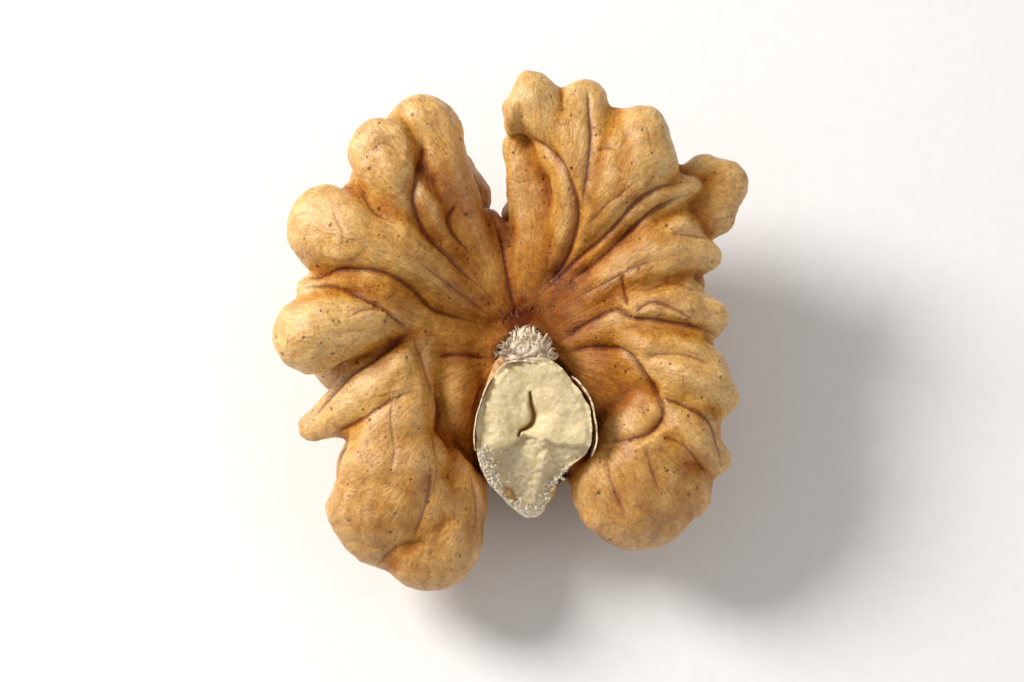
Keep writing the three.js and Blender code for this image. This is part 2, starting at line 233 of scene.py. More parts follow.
# Creases of the inner face, as (stations, depth, half width, colour).
# Deep ones part two folds; fine ones are veins that only mark the coat.
CREASES = [
    # suture and right wing
    ([(0.0, 1.3), (-0.4, 3.4), (-0.7, 5.4), (-1.2, 7.0)], 0.17, 0.18, 0.9),
    ([(1.5, 2.3), (3.0, 4.1), (3.8, 6.6), (3.35, 8.8), (2.3, 10.5), (0.8, 11.4), (0.0, 12.6)],
     0.38, 0.28, 0.8),
    ([(4.55, 14.6), (4.75, 11.8), (4.45, 9.2), (4.0, 6.9)], 0.20, 0.20, 0.7),
    ([(1.5, 2.0), (3.8, 4.1), (5.9, 5.8), (7.6, 7.65), (9.4, 8.6), (10.9, 8.95)], 0.22, 0.20, 0.85),
    ([(3.5, 2.9), (5.7, 4.6), (7.9, 6.45), (9.7, 7.65), (11.1, 8.1)], 0.24, 0.20, 0.85),
    ([(5.0, 10.6), (5.6, 10.75), (6.4, 10.6)], 0.08, 0.14, 0.4),
    ([(6.5, 3.3), (6.75, 2.1), (6.9, 1.1)], 0.16, 0.18, 0.8),
    ([(2.7, -0.8), (4.9, 0.6), (6.1, 1.1), (7.1, 0.5), (9.1, 0.25), (11.5, -0.2), (12.8, -0.8)],
     0.26, 0.18, 1.0),
    ([(7.3, 0.75), (8.4, 1.45), (9.8, 1.0), (11.0, 0.2)], 0.12, 0.15, 0.6),
    ([(11.5, 2.3), (9.8, 2.75), (8.2, 2.3), (7.0, 2.2)], 0.25, 0.30, 0.45),
    ([(2.9, -1.5), (4.9, -1.2), (6.8, -1.6), (7.9, -3.2), (8.8, -4.6), (8.9, -5.6), (8.2, -6.4),
      (7.2, -6.8), (5.2, -6.9)], 0.30, 0.20, 1.0),
    ([(8.8, -4.2), (10.6, -4.9), (12.0, -5.8), (12.5, -7.3), (12.6, -8.4)], 0.20, 0.18, 0.8),
    ([(7.9, -1.9), (9.6, -1.55), (11.2, -1.9), (12.6, -2.3)], 0.24, 0.28, 0.45),
    ([(8.9, -6.6), (10.2, -7.2), (11.3, -8.4), (11.9, -9.3)], 0.12, 0.20, 0.4),
    ([(8.0, -7.2), (8.3, -8.6), (8.9, -10.2)], 0.07, 0.13, 0.4),
    ([(5.6, -8.0), (6.0, -9.6), (6.8, -11.4)], 0.08, 0.14, 0.4),
    ([(4.3, 5.9), (5.6, 7.3), (6.8, 8.2), (7.6, 8.9)], 0.06, 0.14, 0.35),
    ([(3.9, 1.9), (5.6, 2.7), (7.4, 3.6), (9.0, 4.1)], 0.08, 0.16, 0.45),
    ([(9.6, 5.7), (10.9, 5.6), (12.0, 5.6)], 0.22, 0.26, 0.5),
    # left wing
    ([(-6.2, -0.3), (-7.95, -1.6), (-10.0, -2.95), (-12.4, -5.6)], 0.20, 0.18, 0.9),
    ([(-6.2, -0.3), (-7.7, 1.0), (-9.6, 2.1), (-11.2, 2.5), (-12.8, 2.4)], 0.26, 0.20, 0.8),
    ([(-12.9, 3.2), (-10.1, 3.35), (-7.9, 3.2), (-6.0, 2.2), (-4.7, 1.1), (-3.2, 0.6), (-1.5, 0.2)],
     0.30, 0.22, 0.85),
    ([(-10.9, -6.5), (-9.2, -5.6), (-7.6, -4.6), (-6.0, -3.8)], 0.16, 0.16, 0.8),
    ([(-4.6, -1.75), (-3.2, -1.6), (-1.4, -1.75)], 0.10, 0.14, 0.9),
    ([(-2.7, -5.2), (-2.3, -4.2), (-1.7, -3.2)], 0.14, 0.15, 0.8),
    ([(-5.55, 11.6), (-5.55, 9.6), (-6.0, 7.9), (-5.4, 6.0), (-3.5, 4.1), (-1.4, 2.0)], 0.36, 0.30, 0.8),
    ([(-3.5, 7.6), (-4.0, 6.6), (-3.6, 5.6), (-2.7, 4.6)], 0.12, 0.16, 0.8),
    ([(-9.9, 8.9), (-9.0, 7.9), (-8.2, 7.0), (-7.3, 6.4)], 0.24, 0.26, 0.5),
    ([(-6.2, -0.3), (-5.4, -1.9), (-4.9, -3.4), (-4.75, -5.0), (-4.75, -6.8), (-4.4, -8.2), (-3.6, -8.7)],
     0.20, 0.35, 0.5),
    ([(-5.0, -8.6), (-5.3, -10.8), (-6.2, -13.0)], 0.10, 0.16, 0.45),
    ([(-2.6, -9.2), (-2.3, -10.8), (-2.3, -12.4)], 0.08, 0.14, 0.4),
    ([(-8.4, -14.6), (-7.6, -13.8), (-6.6, -13.2), (-5.2, -13.0)], 0.16, 0.28, 0.35),
    ([(-7.1, -3.6), (-7.4, -5.6), (-7.2, -7.6), (-7.6, -9.6)], 0.08, 0.16, 0.35),
    ([(-9.9, 0.5), (-8.8, 1.0), (-7.6, 0.9)], 0.08, 0.15, 0.4),
    ([(-8.6, 10.6), (-7.9, 11.2), (-7.2, 10.8)], 0.06, 0.14, 0.35),
    ([(-10.9, 6.9), (-10.3, 5.6), (-10.4, 4.6)], 0.05, 0.13, 0.3),
    ([(-1.6, 0.9), (-3.8, 2.5), (-6.2, 4.2)], 0.08, 0.15, 0.4),
]

# Patches of the inner face with painted shade (above 0) or a painted highlight (below 0),
# as (across, along, radius, how much).
LIT_AND_SHADED_SPOTS = [
    (-4.4, 8.7, 1.7, 0.42), (3.0, 1.9, 1.7, 0.30), (-1.6, 7.0, 1.1, 0.25), (8.8, -9.4, 3.0, 0.10),
    (-11.3, -0.4, 1.9, -0.34), (-9.4, -4.4, 1.6, -0.34), (-1.0, 3.6, 1.3, -0.16), (-10.4, 7.0, 1.6, -0.12),
    (1.0, 13.6, 1.4, -0.20), (-3.0, -4.6, 1.6, -0.14), (10.4, -3.2, 1.8, -0.12),
]

# Outline of the break on the stub of the isthmus, anticlockwise from its upper left.
BREAK_EDGE = [
    (-0.5, -2.1), (-1.3, -3.15), (-1.95, -4.6), (-2.3, -6.0), (-2.25, -7.3), (-2.1, -8.2), (-1.7, -9.2),
    (-0.85, -10.2), (0.0, -11.1), (0.9, -11.65), (1.7, -11.4), (2.15, -10.5), (2.5, -9.6), (3.4, -8.5),
    (4.45, -7.7), (4.75, -6.6), (4.65, -5.1), (4.1, -4.0), (3.4, -3.1), (2.75, -2.35), (2.2, -1.95),
    (1.0, -1.95), (-0.5, -2.1),
]


def piece_of(name, made_of):
    """A new object in the scene, made of that mesh, curve, lamp or lens."""
    piece = bpy.data.objects.new(name, made_of)
    bpy.context.collection.objects.link(piece)
    return piece


kernel = piece_of("kernel_half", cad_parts["walnut_half"].data.copy())
merged = bmesh.new()
merged.from_mesh(kernel.data)
bmesh.ops.remove_doubles(merged, verts=merged.verts, dist=0.001 * MM)
merged.to_mesh(kernel.data)
merged.free()
kernel.data.materials.clear()
skin_mesh = even_skin(kernel, SKIN_FACET, FOLD_ROUNDING)

mean = neighbour_mean(skin_mesh)
points = mesh_points(skin_mesh)
normals = mesh_normals(skin_mesh)
place = on_face(points)
facing = normals @ np.array(TO_FACE)[:3, :3].T
front = ease(0.05, 0.4, facing[:, 2])
reach = np.linalg.norm(place[:, :2] - CENTRE, axis=1)

# towards the middle the folds run together into one smooth funnel
funnel = front * (1 - ease(*FUNNEL_REACH, reach))
funnel *= ease(-5.6, -4.6, place[:, 2]) * (1 - ease(-2.6, -1.6, place[:, 2]))
level = softened(points, mean, FUNNEL_PASSES)
points = points + funnel[:, None] * (level - points)

# the head of the stub and the foot of the crown are sunk, to take their own pieces
break_line = smooth_path(BREAK_EDGE, 0.3)[:-1]
edge_gap, _, _ = distance_along(place[:, :2], np.vstack([break_line, break_line[:1]]))
within_break = inside(place[:, :2], break_line)
inset = np.where(within_break, edge_gap, -edge_gap)
head_sunk = HEAD_SINK * ease(-0.35, 0.05, inset) * ease(-5.2, -3.4, place[:, 2]) * front
crown_gap = oval_gap(place, *CROWN_FOOT)
crown_sunk = CROWN_SINK * (1 - ease(0.75, 1.1, crown_gap)) * front * ease(-3.3, -2.2, place[:, 2])
sunk = np.maximum(head_sunk, crown_sunk)
left_bowl = hump(place, *LEFT_BOWL)
right_bowl = hump(place, *RIGHT_BOWL)
bowl_lift = (BOWL_LIFT[0] * left_bowl + BOWL_LIFT[1] * right_bowl) * front
bowl_lift *= 1 - ease(-3.4, -2.6, place[:, 2])

# how deep each point lies between folds: above 0 in a cleft, below 0 on a crest
narrow = ((softened(points, mean, FOLD_PASSES) - points) * normals).sum(axis=1) / MM
wide = ((softened(points, mean, VALLEY_PASSES) - points) * normals).sum(axis=1) / MM
cleft = np.clip(9.5 * narrow + 1.2 * wide, -1, 1)

# swell each fold between its creases, then press the creases in
nearest_crease = np.full(len(points), 9.0)
crease_side = np.ones(len(points))
crease_tint = np.zeros(len(points))
parting = np.zeros(len(points))
press = np.zeros(len(points))
for stations, depth, half_width, tint in CREASES:
    gap, along, side = distance_along(place[:, :2], smooth_path(stations))
    taper = ease(0, 0.12, along) * (1 - ease(0.75, 1, along)) * 0.85 + 0.15
    press = np.maximum(press, depth * taper * np.exp(-(gap / half_width) ** 2))
    closer = gap < nearest_crease
    nearest_crease[closer] = gap[closer]
    crease_side[closer] = side[closer]
    crease_tint[closer] = (tint * taper)[closer]
    parting[closer] = np.clip(depth / 0.26, 0.2, 1.1)
swell = SWELL[0] - SWELL[1] * parting * np.exp(-(nearest_crease / SWELL[2]) ** 2)

# away from the face the folds are wrinkled by fine winding furrows
back = 1 - ease(-0.1, 0.35, facing[:, 2])
furrow = np.zeros(len(points))
for size, seed, half_width, patch_size, patch_seed, patch_start, patch_full in FURROWS:
    groove = np.exp(-(rough(place, size, seed) / half_width) ** 2)
    groove *= ease(patch_start, patch_full, rough(place, patch_size, patch_seed))
    furrow = np.maximum(furrow, groove)
furrow *= back
cleft = np.clip(cleft + 0.75 * furrow, -1, 1)

lumps = sum(height * rough(place, size, seed) for height, size, seed in LUMPS)
shift = front * (swell - press) * (inset < -0.1) + lumps + bowl_lift - sunk
shift += back * (OUTER_LUMPS[0] * rough(place, *OUTER_LUMPS[1:]) - FURROW_DEPTH * furrow)
points = points + normals * (shift * MM)[:, None]
notch = np.exp(-((place[:, 0] - NOTCH[0]) / NOTCH[1]) ** 2)
notch *= ease(6.2, 7.9, place[:, 1]) * ease(-7.5, -6.0, place[:, 2])
points += np.outer(-NOTCH[2] * notch * MM, FROM_FACE.to_3x3() @ Vector((0, 1, 0)))
points[:, 2] = np.maximum(points[:, 2], 0)  # it rests on small flat spots of its lowest folds
move_points(skin_mesh, points)


def keep_values(mesh, named):
    """Stores a value for each vertex under each name, for the material to read."""
    for name, values in named.items():
        attribute = mesh.attributes.new(name, "FLOAT", "POINT")
        attribute.data.foreach_set("value", values.astype(np.float32))


scarred = 1.3 * hump(place, *SCAR) * np.exp(0.9 * rough(place, 0.5, 9))
scarred += 0.8 * (1 - ease(0.55, 0.85, crown_gap))
# painted shade in dark hollows and painted highlights on lit crests, in spots
painted_light_spots = np.zeros(len(place))
for across, along, radius, much in LIT_AND_SHADED_SPOTS:
    painted_light_spots += much * hump(place, across, along, radius, radius)
# painted shade on the lower lobes, which slope away from the light, added to the spots
face_painted_light = painted_light_spots + 0.16 * ease(-5, -12, place[:, 1])
# painted shade deeper below the face, away from its middle
face_painted_light += 0.22 * ease(-1.4, -4.5, place[:, 2]) * ease(3.0, 7.0, reach)
# painted shade where the stub shades the right bowl, and painted light that brightens the shaded left bowl
face_painted_light += 0.16 * right_bowl - 0.30 * left_bowl
# the outside is a little darker all over, with painted shade in its clefts
back_painted_shade = 0.06 + 0.30 * np.clip(cleft, 0, 1)
keep_values(skin_mesh, {
    # the cleft is lowered under the painted highlight spots, so they come out paler and shinier
    "cleft": np.clip(cleft * 0.5 + 0.5 + 0.6 * front * np.minimum(painted_light_spots, 0), 0, 1),
    "outer": back,
    "crease_gap": np.where(front > 0.3, nearest_crease, 9.0),
    "crease_side": nearest_crease * crease_side,
    "crease_tint": crease_tint * front,
    # painted shade and painted highlights, added to the coat's tan
    "painted_light_tone": front * face_painted_light + back * back_painted_shade,
    "scar": front * np.clip(scarred, 0, 1),
})


def hue(red, green, blue):
    """A colour mixed on the screen scale of 0 to 255, as the shader wants it."""
    def linear(c):
        c /= 255
        return c / 12.92 if c <= 0.04045 else ((c + 0.055) / 1.055) ** 2.4
    return (linear(red), linear(green), linear(blue), 1)


class Shading:
    """Lays out a material's nodes, a call for each."""

    def __init__(self, name):
        self.material = bpy.data.materials.new(name)
        self.material.use_nodes = True
        self.tree = self.material.node_tree
        self.shader = self.tree.nodes["Principled BSDF"]

    def node(self, kind, inputs=(), **settings):
        made = self.tree.nodes.new("ShaderNode" + kind)
        for key, value in settings.items():
            setattr(made, key, value)
        for key, value in dict(inputs).items():
            self.feed(made.inputs[key], value)
        return made

    def feed(self, socket, value):
        if isinstance(value, bpy.types.NodeSocket):
            self.tree.links.new(value, socket)
        else:
            socket.default_value = value

    def maths(self, operation, *values, clamp=False):
        made = self.node("Math", operation=operation, use_clamp=clamp)
        for socket, value in zip(made.inputs, values):
            self.feed(socket, value)
        return made.outputs[0]

    def span(self, value, low, high, to_low=0.0, to_high=1.0):
        made = self.node("MapRange", {"Value": value, "From Min": low, "From Max": high,
                                      "To Min": to_low, "To Max": to_high})
        return made.outputs[0]

    def blend(self, amount, below, above, way="MIX"):
        made = self.node("Mix", data_type="RGBA", blend_type=way)
        self.feed(made.inputs["Factor"], amount)
        self.feed(made.inputs[6], below)
        self.feed(made.inputs[7], above)
        return made.outputs[2]

    def given(self, name):
        return self.node("Attribute", attribute_name=name).outputs["Fac"]

    def place(self):
        """Places on the piece, in millimetres."""
        where = self.node("TexCoord").outputs["Object"]
        return self.node("Mapping", {"Vector": where, "Scale": (1000, 1000, 1000)}).outputs[0]

    def waxy(self, weight, radius, depth):
        """Lets light sink that many millimetres into the surface."""
        self.shader.inputs["Subsurface Weight"].default_value = weight
        self.shader.inputs["Subsurface Radius"].default_value = radius
        self.shader.inputs["Subsurface Scale"].default_value = depth * MM

    def bump(self, height):
        """Fine relief, from a height in millimetres."""
        made = self.node("Bump", {"Height": height, "Distance": MM, "Strength": 1.0})
        self.feed(self.shader.inputs["Normal"], made.outputs[0])

    def colour(self, shade):
        self.feed(self.shader.inputs["Base Color"], shade)

    def noise(self, place, scale, detail=4.0, roughness=0.55, distortion=0.0):
        return self.node("TexNoise", {"Vector": place, "Scale": scale, "Detail": detail,
                                      "Roughness": roughness, "Distortion": distortion}).outputs[0]


coat = Shading("seed_coat")
coat_place = coat.place()
cleft_in = coat.given("cleft")
outer_in = coat.given("outer")
scar_in = coat.given("scar")
crease_gap = coat.given("crease_gap")
crease_tint = coat.given("crease_tint")
near_crease = coat.span(crease_gap, 0.05, 0.75, 1.0, 0.0)

# a fine dark vein in the bottom of each crease, of uneven width
thread = coat.span(coat.noise(coat_place, 1.3, 3.0), 0.3, 0.7, 0.09, 0.20)
vein_edge = coat.maths("MULTIPLY", thread, coat.span(crease_tint, 0.2, 1.0, 0.7, 1.3))
vein_gap = coat.maths("ABSOLUTE", coat.given("crease_side"))
vein = coat.maths("SUBTRACT", 1.0, coat.maths("DIVIDE", vein_gap, vein_edge), clamp=True)
vein = coat.maths("MULTIPLY", vein, coat.span(crease_gap, 0.15, 0.25, 1.0, 0.0))
vein = coat.maths("MULTIPLY", vein, coat.span(crease_tint, 0.0, 0.8, 0.0, 1.0))

# hair-fine streaks that run out from the middle of the face
parts = coat.node("SeparateXYZ", {"Vector": coat_place})
run_x = coat.maths("SUBTRACT", parts.outputs[0], 0.7)
run_y = coat.maths("SUBTRACT", parts.outputs[1], -0.5)
wander = coat.maths("MULTIPLY", coat.noise(coat_place, 0.45, 2.0), 0.14)
angle = coat.maths("ADD", coat.maths("ARCTAN2", run_y, run_x), wander)
run_squared = coat.maths("ADD", coat.maths("MULTIPLY", run_x, run_x), coat.maths("MULTIPLY", run_y, run_y))
reach_in = coat.maths("SQRT", run_squared)


def streaks_of(around, outward, detail):
    """Noise drawn out along the lines that leave the middle of the face."""
    drawn = coat.node("CombineXYZ", {
        "X": coat.maths("MULTIPLY", coat.maths("SINE", angle), around),
        "Y": coat.maths("MULTIPLY", coat.maths("COSINE", angle), around),
        "Z": coat.maths("MULTIPLY", reach_in, outward),
    }).outputs[0]
    return coat.noise(drawn, 1.0, detail, 0.65)


broad_streaks = streaks_of(20.0, 0.35, 4.0)
fine_streaks = streaks_of(70.0, 1.6, 4.0)
mottle = coat.noise(coat_place, 0.55, 5.0, 0.6, 0.4)
blotch = coat.noise(coat_place, 1.7, 4.0, 0.6, 0.3)
grain = coat.noise(coat_place, 4.5, 4.0, 0.7)


def pores_of(density, radius, share):
    """Small dark pits scattered over the coat."""
    cells = coat.node("TexVoronoi", {"Vector": coat_place, "Scale": density, "Randomness": 1.0})
    pick = coat.node("SeparateColor", {"Color": cells.outputs["Color"]})
    size = coat.span(pick.outputs[1], 0.0, 1.0, 0.4 * radius * density, radius * density)
    pit = coat.maths("SUBTRACT", 1.0, coat.maths("DIVIDE", cells.outputs["Distance"], size), clamp=True)
    return coat.maths("MULTIPLY", coat.span(pit, 0.0, 0.5), coat.maths("LESS_THAN", pick.outputs[0], share))


pores = coat.maths("MAXIMUM", pores_of(0.9, 0.18, 0.85), pores_of(1.7, 0.095, 0.75))

# a loose web of thin veins between the creases, and all over the outside
bend = coat.node("TexNoise", {"Vector": coat_place, "Scale": 0.5, "Detail": 2.0}).outputs["Color"]
bend = coat.node("VectorMath", {0: bend, 1: (1.6, 1.6, 1.6)}, operation="MULTIPLY").outputs[0]
bent_place = coat.node("VectorMath", {0: coat_place, 1: bend}, operation="ADD").outputs[0]
web = coat.node("TexVoronoi", {"Vector": bent_place, "Scale": 0.26}, feature="DISTANCE_TO_EDGE")
web_vein = coat.maths("MULTIPLY", coat.span(web.outputs["Distance"], 0.0, 0.03, 1.0, 0.0),
                      coat.span(mottle, 0.45, 0.6))

# the coat is darker towards the middle and beside the creases, plus painted shade in the clefts and the
# painted light kept on the mesh
# painted shade in the clefts, stronger away from the middle, with some of the coat's own deeper tan
cleft_tan_and_shade = coat.maths("MULTIPLY", coat.span(cleft_in, 0.42, 0.95), coat.span(reach_in, 2.5, 9.0, 0.12, 0.60))
tan_and_painted_light = coat.maths("ADD", coat.maths("MULTIPLY", coat.span(reach_in, 1.5, 11.5, 1.0, 0.0), 0.20), cleft_tan_and_shade)
for deeper in (
    coat.span(reach_in, 1.5, 6.0, 0.28, 0.0),
    coat.maths("MULTIPLY", near_crease, coat.maths("MULTIPLY", crease_tint, 0.20)),
    coat.given("painted_light_tone"),
    coat.span(mottle, 0.3, 0.7, -0.20, 0.22),
):
    tan_and_painted_light = coat.maths("ADD", tan_and_painted_light, deeper)
tan_and_painted_light = coat.maths("ADD", tan_and_painted_light, coat.span(blotch, 0.3, 0.7, -0.10, 0.10), clamp=True)
tan_and_shade_ramp = coat.node("ValToRGB", {"Fac": tan_and_painted_light})
tan_and_shade_ramp.color_ramp.elements[0].color = hue(212, 160, 78)
tan_and_shade_ramp.color_ramp.elements[1].color = hue(92, 44, 10)
for spot, shade in ((0.20, hue(194, 137, 56)), (0.42, hue(178, 114, 37)), (0.66, hue(152, 87, 23)),
                    (0.86, hue(120, 62, 14))):
    tan_and_shade_ramp.color_ramp.elements.new(spot).color = shade
# paler crests: partly the rubbed coat, partly a painted highlight
rub_and_painted_highlight = coat.maths("MULTIPLY", coat.span(cleft_in, 0.42, 0.15), coat.span(blotch, 0.35, 0.65, 0.15, 0.75))
skin = coat.blend(rub_and_painted_highlight, tan_and_shade_ramp.outputs[0], hue(236, 198, 130))

# streaks, grain, veins, pores and the scar are laid over the tan
drawn_out = coat.span(outer_in, 0.0, 1.0, 1.0, 0.35)
broad_marks = coat.maths("MULTIPLY", drawn_out, coat.span(broad_streaks, 0.46, 0.70, 0.0, 0.50))
fine_marks = coat.maths("MULTIPLY", drawn_out, coat.span(fine_streaks, 0.47, 0.70, 0.0, 0.62))
web_marks = coat.maths("MULTIPLY", web_vein, coat.span(outer_in, 0.0, 1.0, 0.40, 0.85))
skin = coat.blend(broad_marks, skin, (0.62, 0.44, 0.28, 1), "MULTIPLY")
skin = coat.blend(fine_marks, skin, (0.60, 0.44, 0.31, 1), "MULTIPLY")
grain_value = coat.span(grain, 0.32, 0.68, 0.76, 1.22)
skin = coat.node("HueSaturation", {"Color": skin, "Value": grain_value}).outputs[0]
skin = coat.blend(web_marks, skin, (0.52, 0.34, 0.20, 1), "MULTIPLY")
skin = coat.blend(coat.maths("POWER", vein, 0.7), skin, (0.40, 0.18, 0.08, 1), "MULTIPLY")
skin = coat.blend(coat.maths("MULTIPLY", pores, 0.80), skin, (0.25, 0.17, 0.12, 1), "MULTIPLY")
coat.colour(coat.blend(coat.maths("MULTIPLY", scar_in, 0.92, clamp=True), skin, hue(88, 30, 8)))

# the crests are rubbed to a low shine, and the clefts and the scar are dull
coat.feed(coat.shader.inputs["Roughness"], coat.span(grain, 0.3, 0.7, 0.32, 0.48))
crest_shine = coat.span(cleft_in, 0.30, 0.62, 0.85, 0.15)
shine = coat.maths("MULTIPLY", crest_shine, coat.span(scar_in, 0.1, 0.7, 1.0, 0.2))
coat.feed(coat.shader.inputs["Specular IOR Level"], shine)
coat.waxy(0.18, (1.0, 0.52, 0.20), 0.7)
relief = coat.maths("MULTIPLY", broad_streaks, -0.08)
for layer, height in ((fine_streaks, -0.05), (grain, 0.05), (vein, -0.05), (web_vein, -0.02), (pores, -0.06)):
    relief = coat.maths("ADD", relief, coat.maths("MULTIPLY", layer, height))
coat.bump(relief)
skin_mesh.materials.clear()
skin_mesh.materials.append(coat.material)

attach(kernel, "root")
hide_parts("walnut_half")

# ---------------------------------------------------------------------------
# The broken stub of the isthmus: where the two halves of the kernel tore
# apart. The bare flesh is cream and waxy, split by a slit, and the torn edge
# of the seed coat stands up round it as a thin ragged rim.
# ---------------------------------------------------------------------------

BREAK_FACET = 0.075 * MM
BREAK_ROUNDING = 3
BREAK_LEVEL = -0.42  # height of the upper part of the break on the inner face
BREAK_BEND = -7.2  # below this the break falls away towards the tip
BREAK_FALL = 0.66  # how steeply it falls away
BREAK_DEPTH = 2.4
BREAK_TAPER = (0.86, 0.88, 1)  # size of the foot of the break beside its head
BREAK_MIDDLE = (1.2, -6.4)
BREAK_SLIT = [(1.0, -4.0), (1.08, -4.7), (1.22, -5.3), (1.12, -5.8), (0.75, -6.15), (0.42, -6.3), (0.3, -6.6)]
BREAK_STEP = ([-2.4, -1.6, -0.5, 0.6, 1.7, 3.4, 4.9], [-7.5, -7.75, -7.35, -6.6, -6.9, -7.2, -7.3])
BREAK_RIDGE = [(1.7, -6.9), (1.9, -8.0), (1.5, -9.6), (1.2, -10.6)]
STEP_DROP = 0.42
RIDGE_RISE = 0.40
SLIT_DEPTH = 0.62
RIM_WIDTH = 0.16
CRUST_WIDTH = 0.40
FLECK = (-0.25, -10.05)  # a brown fleck of coat left on the lower edge
FLECK_RUN = (0.69, -0.73)  # the way that it lies
GLASSY_SIDE = (3.2, -4.0, 1.1, 1.6)


def break_fall(v):
    """How far the break has fallen away at that place along the suture."""
    past_bend = BREAK_BEND - v
    return BREAK_FALL * 0.5 * (past_bend + np.sqrt(past_bend ** 2 + 0.25))


def fleck_gap(u, v, half_length, half_width):
    """Distance from the middle of the fleck, which is 1 at its outline."""
    along = FLECK_RUN[0] * (u - FLECK[0]) + FLECK_RUN[1] * (v - FLECK[1])
    across = FLECK_RUN[0] * (v - FLECK[1]) - FLECK_RUN[1] * (u - FLECK[0])
    return np.hypot(along / half_length, across / half_width)


def piece_from(name, shape):
    """A new piece made from the finished shape."""
    mesh = bpy.data.meshes.new(name)
    shape.to_mesh(mesh)
    shape.free()
    return piece_of(name, mesh)


break_block = bmesh.new()
edge_verts = [break_block.verts.new((u, v, BREAK_LEVEL)) for u, v in break_line]
top = break_block.faces.new(edge_verts)
grown = bmesh.ops.extrude_face_region(break_block, geom=[top])
lower_verts = [part for part in grown["geom"] if isinstance(part, bmesh.types.BMVert)]
bmesh.ops.translate(break_block, verts=lower_verts, vec=(0, 0, -BREAK_DEPTH))
bmesh.ops.scale(break_block, verts=lower_verts, vec=BREAK_TAPER,
                space=Matrix.Translation((-BREAK_MIDDLE[0], -BREAK_MIDDLE[1], 0)))
bmesh.ops.recalc_face_normals(break_block, faces=break_block.faces)
bmesh.ops.transform(break_block, matrix=Matrix.Scale(MM, 4) @ FROM_FACE, verts=break_block.verts)
broken = piece_from("isthmus_break", break_block)
break_mesh = even_skin(broken, BREAK_FACET, BREAK_ROUNDING)

place = on_face(mesh_points(break_mesh))
facing = mesh_normals(break_mesh) @ np.array(TO_FACE)[:3, :3].T
u, v = place[:, 0], place[:, 1]
upper = ease(-1.9, -0.9, place[:, 2])
wall = 1 - ease(-1.35, -0.8, place[:, 2])
inset, _, _ = distance_along(place[:, :2], np.vstack([break_line, break_line[:1]]))
coarse = rough(place, 1.25, 4)
fine = rough(place, 0.36, 5)

# the flesh steps down across the middle, with a blunt ridge below the step
step_line = np.interp(u, *BREAK_STEP)
below_step = 1 - ease(-0.10, 0.12, v - step_line + 0.22 * rough(place, 0.8, 32))
ridge_gap, _, _ = distance_along(place[:, :2], smooth_path(BREAK_RIDGE))
height = -STEP_DROP * below_step
height += RIDGE_RISE * np.exp(-(ridge_gap / 0.45) ** 2) * below_step
height -= 0.22 * below_step * np.exp(-((u + 0.2) / 0.9) ** 2)

# the slit widens and narrows, and the flesh dips towards it
slit_gap, slit_along, _ = distance_along(place[:, :2], smooth_path(BREAK_SLIT, 0.1))
slit_swell = np.sin(math.pi * np.clip(slit_along, 0.03, 0.97))
slit_width = 0.05 + 0.12 * slit_swell * (1 + 0.5 * rough(place, 0.5, 35))
height -= 0.35 * np.exp(-(slit_gap / 0.9) ** 2)
height -= SLIT_DEPTH * np.exp(-(slit_gap / slit_width) ** 2)
height += 0.06 * (u - BREAK_MIDDLE[0]) + 0.17 * coarse + 0.05 * fine
height += below_step * (0.10 * fine + 0.05 * rough(place, 0.2, 33))

# a ragged rim stands round the break, with a crust along the lower left
rim = np.exp(-(inset / RIM_WIDTH) ** 2)
ragged = 0.10 + 0.22 * rough(place, 0.7, 6) + 0.14 * rough(place, 0.25, 7)
crust = np.exp(-(inset / CRUST_WIDTH) ** 2) * ease(-7.4, -8.6, v) * ease(2.2, 0.9, u)
height += crust * (0.12 + 0.16 * rough(place, 0.28, 34)) + rim * ragged
height -= 0.22 * ease(0.55, 0.1, inset) * (0.6 + rough(place, 1.1, 31))
fleck = 2.2 * np.exp(0.4 * fine - fleck_gap(u, v, 0.55, 0.26) ** 2) - 0.5

place[:, 2] += upper * height - break_fall(v)
spread = rough(place, 0.8, 8) * 0.10
outward = facing.copy()
outward[:, 2] = 0
place += outward * spread[:, None]
glassy_side = hump(place, *GLASSY_SIDE)
move_points(break_mesh, in_frame(place))
keep_values(break_mesh, {
    "rim": rim,
    "slit": np.exp(-(slit_gap / (slit_width * 1.3)) ** 2),
    "low_facet": np.maximum(below_step, 0.8 * glassy_side),
    "wall": wall,
    "crust": crust,
    "fleck": np.clip(fleck, 0, 1),
})

flesh = Shading("bare_flesh")
flesh_place = flesh.place()
cloud = flesh.noise(flesh_place, 0.8, 4.0, 0.6)
crumb = flesh.noise(flesh_place, 4.0, 5.0, 0.7)
glassy = flesh.maths("MULTIPLY", flesh.given("low_facet"), flesh.span(cloud, 0.42, 0.60, 0.35, 1.0))
crusted = flesh.maths("MULTIPLY", flesh.given("crust"), flesh.span(crumb, 0.40, 0.60, 0.3, 1.0))
cream = flesh.blend(flesh.span(cloud, 0.35, 0.65), hue(234, 216, 168), hue(214, 191, 140))
for amount, shade in (
    (glassy, hue(204, 184, 146)),
    (flesh.span(crumb, 0.54, 0.70, 0.0, 0.75), hue(252, 247, 234)),
    # painted amber shade inside the slit
    (flesh.maths("MULTIPLY", flesh.given("slit"), 0.85), hue(172, 124, 50)),
    (flesh.span(flesh.given("rim"), 0.25, 0.7, 0.0, 0.7), hue(226, 200, 158)),
    (flesh.span(crusted, 0.05, 0.6, 0.0, 0.90), hue(249, 240, 220)),
    (flesh.maths("MULTIPLY", flesh.given("fleck"), 0.85), hue(176, 114, 62)),
    (flesh.span(flesh.given("wall"), 0.2, 0.9), hue(176, 118, 58)),
):
    cream = flesh.blend(amount, cream, shade)
flesh.colour(cream)
flesh.feed(flesh.shader.inputs["Roughness"], flesh.span(cloud, 0.3, 0.7, 0.34, 0.55))
flesh.waxy(0.4, (1.0, 0.7, 0.35), 0.8)
